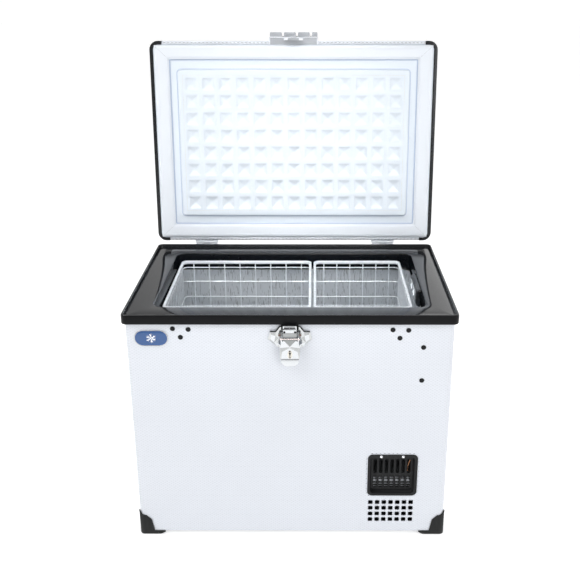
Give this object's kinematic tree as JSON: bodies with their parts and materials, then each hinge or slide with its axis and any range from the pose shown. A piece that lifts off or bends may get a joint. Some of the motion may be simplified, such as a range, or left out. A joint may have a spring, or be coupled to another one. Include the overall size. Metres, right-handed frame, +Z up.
{
  "type": "compressor cooler fridge",
  "caption": "Top-opening portable compressor fridge: embossed metal case, black rim, hinged lid with waffle liner held open, wire baskets, draw latch, vent and corner feet.",
  "frame": {"origin": "on the floor under the middle of the bounding box, with the lid open", "axes": "+X to the right of the front, +Y from the front to the hinges, +Z up"},
  "size_m": [0.6596, 0.5418, 0.9675],
  "materials": {
    "white_metal": "satin",
    "black_gloss": "gloss",
    "black_satin": "satin",
    "white_plastic": "satin",
    "white_gasket": "satin",
    "dark_rubber": "matte",
    "chrome": "polished",
    "tub_metal": "satin",
    "steel": "satin",
    "copper": "satin",
    "foam": "matte",
    "coated_wire": "satin",
    "cast_shell": "satin",
    "fin_metal": "satin",
    "black_metal": "satin",
    "lens": "gloss"
  },
  "bodies": {
    "chest": {"ac_inlet": "black_satin", "badge_plate": "tub_metal", "base_pan": "steel", "bay_bulkhead": "steel", "compressor": "cast_shell", "compressor_mount": "steel", "condenser": "fin_metal", "control_module": "black_satin", "control_panel_bezel": "black_gloss", "corner_foot_front_left": "dark_rubber", "corner_foot_front_right": "dark_rubber", "corner_foot_rear_left": "dark_rubber", "corner_foot_rear_right": "dark_rubber", "dc_inlet": "black_satin", "discharge_pipe": "copper", "display_lens": "lens", "evaporator_coil": "copper", "fan_motor": "cast_shell", "fan_shroud": "black_satin", "filter_drier": "copper", "front_vent_grille": "black_satin", "inner_tub": "tub_metal", "insulation_foam": "foam", "interior_lamp_housing": "black_gloss", "interior_lamp_lens": "lens", "latch_base": "chrome", "left_handle_bracket": "black_satin", "left_hinge_body_leaf": "chrome", "left_hinge_pin": "chrome", "outer_casing": "white_metal", "rear_vent_grille": "black_satin", "right_handle_bracket": "black_satin", "right_hinge_body_leaf": "chrome", "right_hinge_pin": "chrome", "suction_pipe": "copper", "top_rim_frame": "black_gloss", "vent_screw_left": "chrome", "vent_screw_right": "chrome"},
    "lid": {"left_hinge_lid_leaf": "chrome", "lid_gasket": "white_gasket", "lid_inner_liner": "white_plastic", "lid_insulation": "foam", "lid_keeper": "chrome", "lid_outer_skin": "white_metal", "lid_side_trim_left": "black_satin", "lid_side_trim_right": "black_satin", "right_hinge_lid_leaf": "chrome"},
    "latch_lever": {"latch_lever": "chrome", "latch_pin": "chrome"},
    "latch_hook": {"latch_hook": "chrome"},
    "lock_cylinder": {"lock_cylinder": "chrome"},
    "basket_left": {"basket_left": "coated_wire"},
    "basket_right": {"basket_right": "coated_wire"},
    "left_handle": {"left_handle_bail": "black_metal"},
    "right_handle": {"right_handle_bail": "black_metal"},
    "fan": {"fan_rotor": "black_satin"},
    "button_1": {"control_button_1": "white_plastic"},
    "button_2": {"control_button_2": "white_plastic"},
    "button_3": {"control_button_3": "white_plastic"}
  },
  "joints": [
    {"name": "lid_hinge", "type": "hinge", "parent": "chest", "child": "lid", "pos_m": [0, 0.19587, 0.4977], "axis": [1, 0, 0], "range_deg": [0, 94.69]},
    {"name": "latch_lever_pivot", "type": "hinge", "parent": "chest", "child": "latch_lever", "pos_m": [0, -0.25913, 0.456], "axis": [1, 0, 0], "range_deg": [-110, 0]},
    {"name": "latch_hook_pivot", "type": "hinge", "parent": "latch_lever", "child": "latch_hook", "pos_m": [0, -0.26513, 0.4477], "axis": [-1, 0, 0], "range_deg": [-110, 0]},
    {"name": "lock_turn", "type": "hinge", "parent": "latch_lever", "child": "lock_cylinder", "pos_m": [0, -0.26833, 0.416], "axis": [0, 1, 0], "range_deg": [0, 90]},
    {"name": "basket_left_lift", "type": "slide", "parent": "chest", "child": "basket_left", "axis": [0, 0, -1], "range_m": [-0.4, 0]},
    {"name": "basket_right_lift", "type": "slide", "parent": "chest", "child": "basket_right", "axis": [0, 0, -1], "range_m": [-0.3, 0]},
    {"name": "left_handle_swing", "type": "hinge", "parent": "chest", "child": "left_handle", "pos_m": [-0.3228, 0.02887, 0.415], "axis": [0, 1, 0], "range_deg": [0, 100]},
    {"name": "right_handle_swing", "type": "hinge", "parent": "chest", "child": "right_handle", "pos_m": [0.3228, 0.02887, 0.415], "axis": [0, -1, 0], "range_deg": [0, 100]},
    {"name": "fan_spin", "type": "hinge", "parent": "chest", "child": "fan", "pos_m": [0.2, -0.16413, 0.11], "axis": [0, 1, 0], "continuous": true},
    {"name": "button_1_press", "type": "slide", "parent": "chest", "child": "button_1", "axis": [-1, 0, 0], "range_m": [0, 0.0015], "stiffness_N_per_m": 300},
    {"name": "button_2_press", "type": "slide", "parent": "chest", "child": "button_2", "axis": [-1, 0, 0], "range_m": [0, 0.0015], "stiffness_N_per_m": 300},
    {"name": "button_3_press", "type": "slide", "parent": "chest", "child": "button_3", "axis": [-1, 0, 0], "range_m": [0, 0.0015], "stiffness_N_per_m": 300}
  ],
  "couplings": [
    {"joint": "latch_hook_pivot", "follows": "latch_lever_pivot", "ratio": 1}
  ]
}
